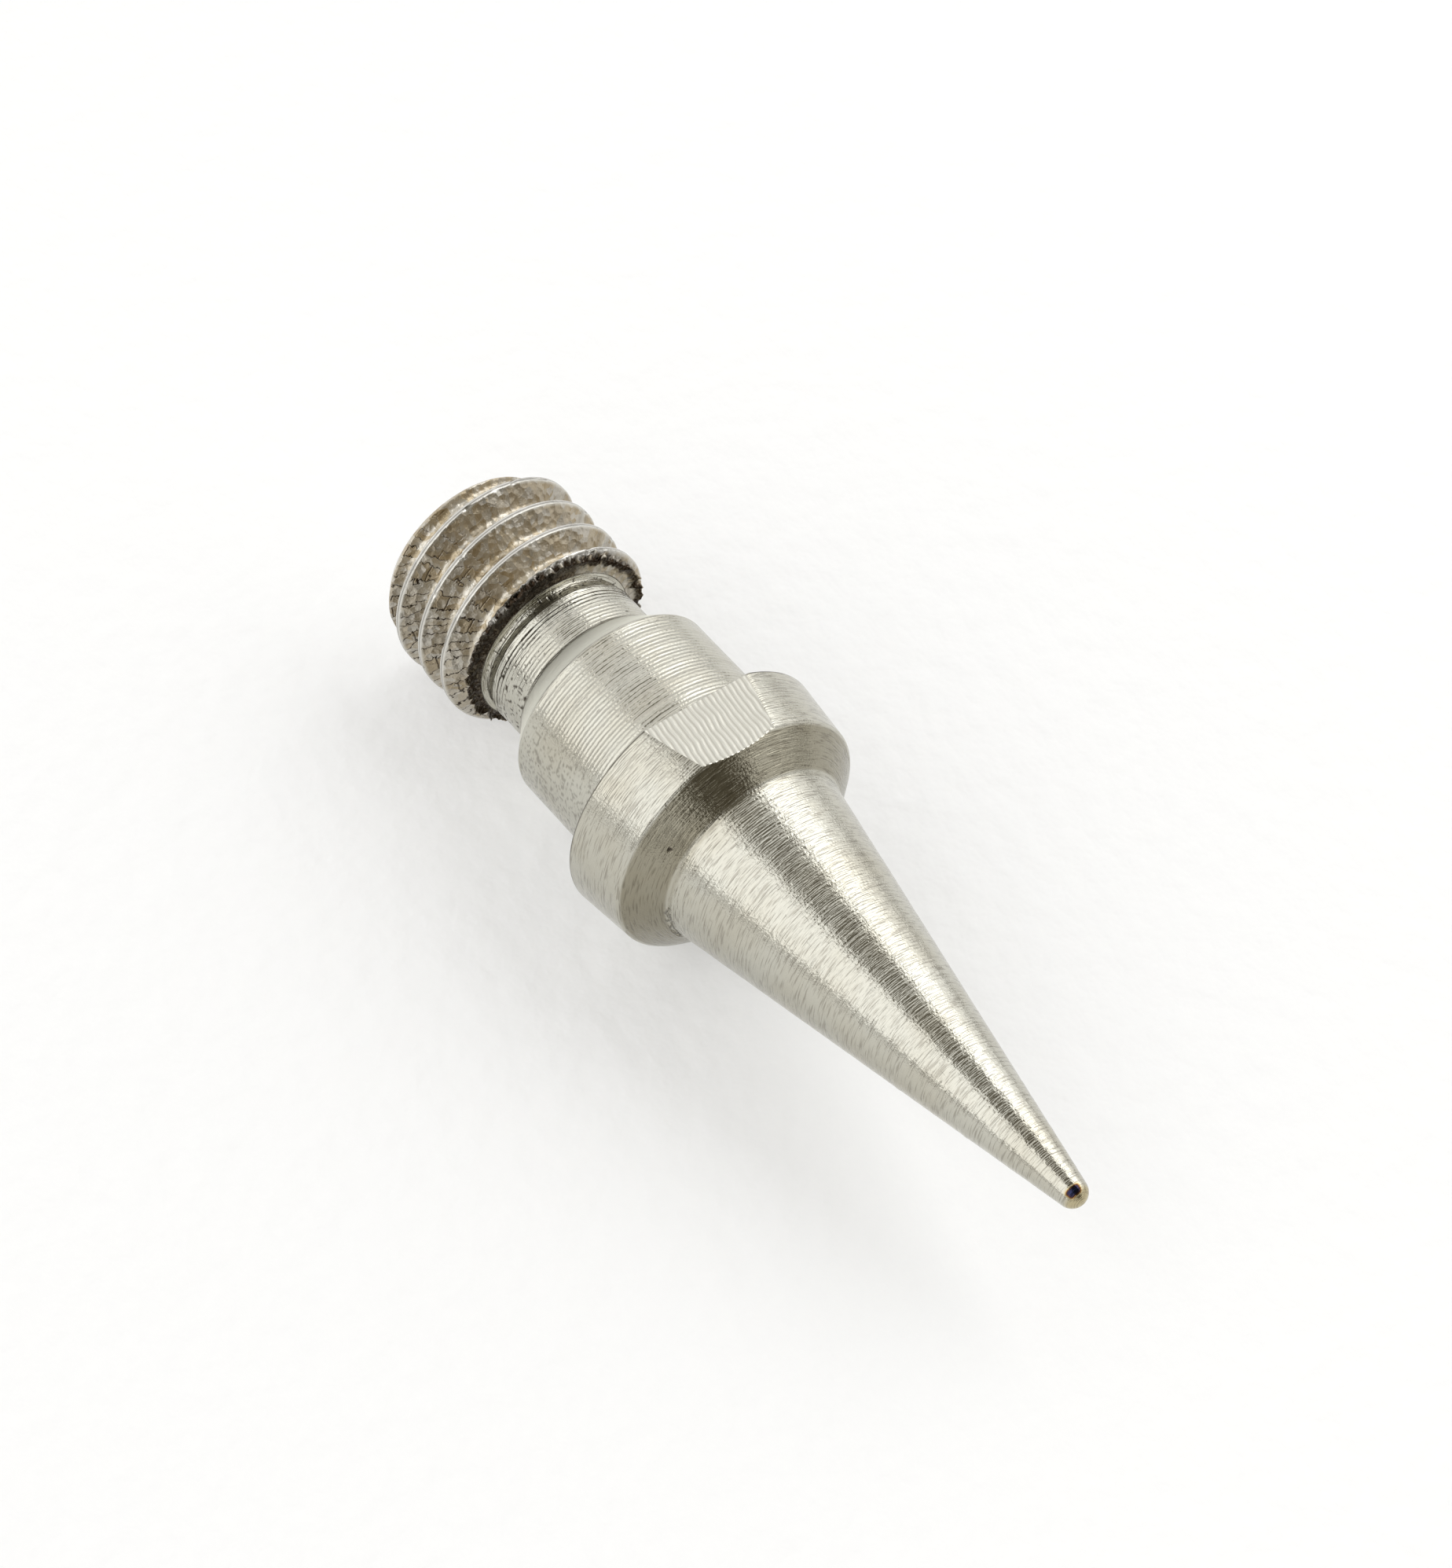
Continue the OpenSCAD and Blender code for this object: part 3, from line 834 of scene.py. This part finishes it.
# Painted highlights along the two edges of each crest, with a darker middle
on_edge = add(tree, "ShaderNodeMapRange", {1: 0.01, 2: 0.035}, {0: flank_mark.outputs["Fac"]})
crest_painted_highlight = add(tree, "ShaderNodeMix", {"data_type": "RGBA", 6: linear("#A19E97"), 7: linear("#D3D1CA")},
                 {0: on_edge.outputs[0]})
crest_and_flank = add(tree, "ShaderNodeMix", {"data_type": "RGBA"},
           {0: flank_share.outputs[0], 6: crest_painted_highlight.outputs[2], 7: flecked.outputs[2]})
uneven = add(tree, "ShaderNodeMapRange", {1: 0.35, 2: 0.6, 3: 0.86, 4: 1.15}, {0: grain.outputs[0]})
# The torn marks darken the flanks, the burr and the wall, partly as painted shade
torn_and_shade_tone = add(tree, "ShaderNodeMath", {"operation": "MULTIPLY"},
           {0: thread_torn_and_shade_mark.outputs["Fac"], 1: uneven.outputs[0]})
dark = add(tree, "ShaderNodeMath", {"operation": "MAXIMUM"},
           {0: torn_and_shade_tone.outputs[0], 1: shaded_cracks.outputs[0]})
scaled = add(tree, "ShaderNodeMix", {"data_type": "RGBA", 7: linear("#32281E")},
             {0: dark.outputs[0], 6: crest_and_flank.outputs[2]})
tree.links.new(scaled.outputs[2], shader.inputs["Base Color"])
print("nodes in the threaded finish so far:", len(tree.nodes))

# %% Gloss and relief of the thread
gloss = add(tree, "ShaderNodeMapRange", {3: 0.25, 4: 0.4}, {0: flank_share.outputs[0]})
sunk = add(tree, "ShaderNodeMath", {"operation": "SUBTRACT"},
           {0: grain.outputs[0], 1: shaded_cracks.outputs[0]})
facets = add(tree, "ShaderNodeMath", {"operation": "MULTIPLY_ADD", 1: 2.8},
             {0: patches.outputs["Distance"], 2: sunk.outputs[0]})
bump_share = add(tree, "ShaderNodeMapRange", {1: 0.05, 2: 0.1, 3: 0.25, 4: 1.0},
                 {0: flank_mark.outputs["Fac"]})
FACET_DEPTH = 0.018 * MM
bump = add(tree, "ShaderNodeBump", {"Distance": FACET_DEPTH},
           {"Height": facets.outputs[0], "Strength": bump_share.outputs[0]})
tree.links.new(gloss.outputs[0], shader.inputs["Roughness"])
tree.links.new(bump.outputs[0], shader.inputs["Normal"])
print("depth of the facets, mm:", FACET_DEPTH / MM)

# %% [markdown]
# ## Milled stainless steel
# The metal of the wrench flats is the same stainless steel, cut by the side of an end mill. Its teeth
# leave ripples that run along the part, about 0.15 mm apart. To the eye the flat is pale and striped,
# and brighter or darker as a whole when it turns. The mesh holds only the soft waves of the flat,
# because ripples cut in the mesh would make its edges ragged. The shader adds the ripples, with
# painted shade in their valleys, and the finer scratches between them.

# %% Scratches and ripples of the flats
milled_steel, tree, shader = new_tree("milled_stainless_steel")
place = add(tree, "ShaderNodeTexCoord", {})
SCRATCH_WIDTH = 0.05 * MM
SCRATCH_LENGTH = 0.9 * MM
RIPPLE = 0.15 * MM
scratch_scale = (1 / SCRATCH_LENGTH, 1 / SCRATCH_WIDTH, 1 / SCRATCH_LENGTH)
scratch_at = add(tree, "ShaderNodeMapping", {"Scale": scratch_scale, "Rotation": (0, 0, 0.1)},
                 {"Vector": place.outputs["Object"]})
scratches = add(tree, "ShaderNodeTexNoise", {"Scale": 1.0, "Detail": 3.0},
                {"Vector": scratch_at.outputs[0]})
# A sine of 20 times the scaled place makes each band
ripple_scale = FULL_TURN / (20 * RIPPLE)
tilted = add(tree, "ShaderNodeMapping", {"Rotation": (0, 0, 0.12)}, {"Vector": place.outputs["Object"]})
ripple = add(tree, "ShaderNodeTexWave", {"bands_direction": "Y", "Scale": ripple_scale, "Distortion": 4.0,
                                         "Detail": 1.5, "Detail Scale": 0.6},
             {"Vector": tilted.outputs[0]})
print("scratch width and ripple, mm:", SCRATCH_WIDTH / MM, RIPPLE / MM)

# %% Colour, gloss and relief of the flats
bare = add(tree, "ShaderNodeMix", {"data_type": "RGBA", 6: linear("#D2D0C6"), 7: linear("#C1BFB4")},
           {0: scratches.outputs[0]})
# Painted shade darkens the valleys of the ripples
valley_shade = add(tree, "ShaderNodeMapRange", {1: 0.0, 2: 0.5, 3: 0.34, 4: 0.0}, {0: ripple.outputs["Fac"]})
tone = add(tree, "ShaderNodeMix", {"data_type": "RGBA", 7: linear("#878073")},
           {0: valley_shade.outputs[0], 6: bare.outputs[2]})
gloss = add(tree, "ShaderNodeMapRange", {1: 0.3, 2: 0.7, 3: 0.2, 4: 0.34}, {0: scratches.outputs[0]})
relief = add(tree, "ShaderNodeMath", {"operation": "MULTIPLY_ADD", 1: 2.3},
             {0: ripple.outputs["Fac"], 2: scratches.outputs[0]})
RIPPLE_DEPTH = 0.005 * MM
bump = add(tree, "ShaderNodeBump", {"Strength": 1.0, "Distance": RIPPLE_DEPTH},
           {"Height": relief.outputs[0]})
tree.links.new(tone.outputs[2], shader.inputs["Base Color"])
tree.links.new(gloss.outputs[0], shader.inputs["Roughness"])
tree.links.new(bump.outputs[0], shader.inputs["Normal"])
print("depth of the ripples, mm:", RIPPLE_DEPTH / MM)

# %% [markdown]
# ## One piece, three finishes
# Each face already holds the number of its finish, so the materials go on in that order. The piece
# takes the place of the plain solid, and it moves with the part's only body.

# %% Put the finishes on the piece
for material in (turned_steel, threaded_steel, milled_steel):
    mesh.materials.append(material)
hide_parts(NODE)
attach(piece, "root")
print("finishes:", [material.name for material in mesh.materials])

# %% [markdown]
# ## The floor
# The part doesn't lie level. It rests on its lower wrench flat and on a thread crest, so the sheet
# of paper under it is tilted by the angle between those two, which is read off the mesh.

# %% Rest the part on paper
skin = points[used]
seat_edge_z = skin[np.abs(skin[:, 0] - seat_x) < 0.05][:, 2].min()
behind = skin[skin[:, 0] < seat_x - 1]
slopes = (behind[:, 2] - seat_edge_z) / (behind[:, 0] - seat_x)
tilt = slopes.max()
FLOOR_REACH = 3.0
floor_mesh = bpy.data.meshes.new("paper_floor")
floor_points = [
    (x, y, seat_edge_z * MM + tilt * x)
    for x, y in np.array([(-1, -1), (1, -1), (1, 1), (-1, 1)]) * FLOOR_REACH
]
floor_mesh.from_pydata(floor_points, [], [(0, 1, 2, 3)])
floor = bpy.data.objects.new("paper_floor", floor_mesh)
bpy.context.scene.collection.objects.link(floor)
print("floor tilt, degrees:", round(math.degrees(math.atan(tilt)), 2))

# %% [markdown]
# ## White paper
# The floor is a sheet of matt white paper, pressed from wood fibres. To the eye it is even and white,
# with a soft unevenness in the shadow. A little light of its own stands for the light that shines
# through the sheet from below, as on a light table, and it keeps the floor close to white.

# %% The paper
paper, tree, shader = new_tree("white_paper")
shader.inputs["Metallic"].default_value = 0.0
place = add(tree, "ShaderNodeTexCoord", {})
FIBRE = 0.4 * MM
fibre = add(tree, "ShaderNodeTexNoise", {"Scale": 1 / FIBRE, "Detail": 4.0},
            {"Vector": place.outputs["Object"]})
sheet = add(tree, "ShaderNodeMix", {"data_type": "RGBA", 6: linear("#C6C6C6"), 7: linear("#CACAC9")},
            {0: fibre.outputs[0]})
tree.links.new(sheet.outputs[2], shader.inputs["Base Color"])
shader.inputs["Roughness"].default_value = 0.8
shader.inputs["Emission Color"].default_value = linear("#FFFFFE")
shader.inputs["Emission Strength"].default_value = 0.36
WRINKLE = 0.9 * MM
wrinkle = add(tree, "ShaderNodeTexNoise", {"Scale": 1 / WRINKLE, "Detail": 3.0},
              {"Vector": place.outputs["Object"]})
WRINKLE_DEPTH = 0.09 * MM
bump = add(tree, "ShaderNodeBump", {"Strength": 1.0, "Distance": WRINKLE_DEPTH},
           {"Height": wrinkle.outputs[0]})
tree.links.new(bump.outputs[0], shader.inputs["Normal"])
floor_mesh.materials.append(paper)
print("fibre and wrinkle, mm:", FIBRE / MM, WRINKLE / MM)

# %% [markdown]
# ## Soft studio light
# A polished part shows its surroundings more than its own colour. The surroundings here are white
# from the horizon up, as in a light tent, with one dark opening over the front of the part, where
# the camera looks in. That opening draws the dark bands along the cone and the collar.

# %% The dark opening
world = bpy.data.worlds.new("light_tent")
bpy.context.scene.world = world
world.use_nodes = True
tree = world.node_tree
tree.nodes.clear()
toward = add(tree, "ShaderNodeTexCoord", {})
# Each direction has a length of 1, so its X, Y and Z run from -1 to 1
axes = add(tree, "ShaderNodeSeparateXYZ", {}, {0: toward.outputs["Generated"]})
aside = add(tree, "ShaderNodeMath", {"operation": "ABSOLUTE"}, {0: axes.outputs["Y"]})
OPENING = 0.38
OPENING_EDGE = 0.08
narrow = add(tree, "ShaderNodeMapRange",
             {"interpolation_type": "SMOOTHSTEP", 1: OPENING - OPENING_EDGE, 2: OPENING + OPENING_EDGE,
              3: 1.0, 4: 0.0},
             {0: aside.outputs[0]})
front = add(tree, "ShaderNodeMapRange",
            {"interpolation_type": "SMOOTHSTEP", 1: -0.55, 2: -0.05}, {0: axes.outputs["X"]})
opening = add(tree, "ShaderNodeMath", {"operation": "MULTIPLY"},
              {0: narrow.outputs[0], 1: front.outputs[0]})
print("half width of the opening:", OPENING)

# %% [markdown]
# The tent isn't evenly bright. Its roof is brightest over the part and falls off to both ends, so
# that each slope of the profile, cone, bevel and flat, reflects its own tone.

# %% The tent's panels
# Brightness of the tent along X, from behind the thread to in front of the tip
TENT = [(-1.0, 0.9), (-0.72, 0.95), (-0.6, 1.05), (-0.48, 1.25), (-0.4, 1.7), (0.3, 1.7), (0.6, 1.25)]
along = add(tree, "ShaderNodeMapRange", {1: -1.0, 2: 1.0}, {0: axes.outputs["X"]})
panels = add(tree, "ShaderNodeValToRGB", {}, {0: along.outputs[0]})
stops = panels.color_ramp.elements
while len(stops) < len(TENT):
    stops.new(1.0)
TENT_PEAK = max(light for x, light in TENT)
for ramp_stop, (x, light) in zip(stops, TENT):
    ramp_stop.position = (x + 1) / 2
    ramp_stop.color = [light / TENT_PEAK] * 3 + [1]
print("tent brightness:", TENT_PEAK)

# %% Join the tent
tent = add(tree, "ShaderNodeMix", {"data_type": "RGBA", 7: linear("#5C584E")},
           {0: opening.outputs[0], 6: panels.outputs[0]})
# The tent is dimmer low on its far side
dim = add(tree, "ShaderNodeMapRange",
          {"interpolation_type": "SMOOTHSTEP", 1: 0.75, 2: 0.99, 3: 1.0, 4: 0.8},
          {0: axes.outputs["Y"]})
tent = add(tree, "ShaderNodeMix", {"data_type": "RGBA", 6: [0, 0, 0, 1]},
           {0: dim.outputs[0], 7: tent.outputs[2]})
# The dark gap between the foot of the tent and the table
gap = add(tree, "ShaderNodeMapRange", {"interpolation_type": "SMOOTHSTEP", 1: 0.06, 2: 0.16, 3: 0.15},
          {0: axes.outputs["Z"]})
tent = add(tree, "ShaderNodeMix", {"data_type": "RGBA", 6: linear("#4D4941")},
           {0: gap.outputs[0], 7: tent.outputs[2]})
glow = add(tree, "ShaderNodeBackground", {"Strength": TENT_PEAK}, {"Color": tent.outputs[2]})
add(tree, "ShaderNodeOutputWorld", {}, {"Surface": glow.outputs[0]})
print("nodes in the tent:", len(tree.nodes))

# %% [markdown]
# ## The key light
# The tent alone gives hardly any shadow. A weak soft light above the far side of the part adds one
# that falls towards the camera, and it lights the top of every ridge.

# %% Place the key light
KEY_SIZE = 0.14
KEY_POWER = 0.07
key_data = bpy.data.lights.new("soft_key", "AREA")
key_data.size = KEY_SIZE
key_data.energy = KEY_POWER
key = bpy.data.objects.new("soft_key", key_data)
key.location = Vector((0.02, 0.14, 0.17))
key.rotation_mode = "QUATERNION"
key.rotation_quaternion = (-key.location).to_track_quat("-Z", "Y")
bpy.context.scene.collection.objects.link(key)
print("key light:", KEY_POWER, "W,", KEY_SIZE, "m wide")

# %% [markdown]
# ## The camera
# The camera looks down on the part from in front and to one side, from about 110 mm away with a
# 100 mm lens, as for a close-up of a small part. It is rolled by a few degrees.

# %% Place the camera
CAMERA_TURN = math.radians(51.15)
CAMERA_RISE = math.radians(51.0)
CAMERA_ROLL = math.radians(2.44)
CAMERA_DISTANCE = 109.94 * MM
LENS = 99.87
look_at = Vector((0.315, 0.807, 0.0)) * MM
level = math.cos(CAMERA_RISE)
back = Vector((math.sin(CAMERA_TURN) * level, -math.cos(CAMERA_TURN) * level, math.sin(CAMERA_RISE)))
camera_data = bpy.data.cameras.new("camera")
camera_data.lens = LENS
camera_data.clip_start = 5 * MM
camera = bpy.data.objects.new("camera", camera_data)
camera.location = look_at + back * CAMERA_DISTANCE
upright = (-back).to_track_quat("-Z", "Y").to_matrix().to_4x4()
roll = Matrix.Rotation(CAMERA_ROLL, 4, "Z")
camera.rotation_mode = "QUATERNION"
camera.rotation_quaternion = (upright @ roll).to_quaternion()
bpy.context.scene.collection.objects.link(camera)
bpy.context.scene.camera = camera
bpy.context.scene.view_settings.view_transform = "Standard"
print("camera at, mm:", [round(c / MM, 1) for c in camera.location])
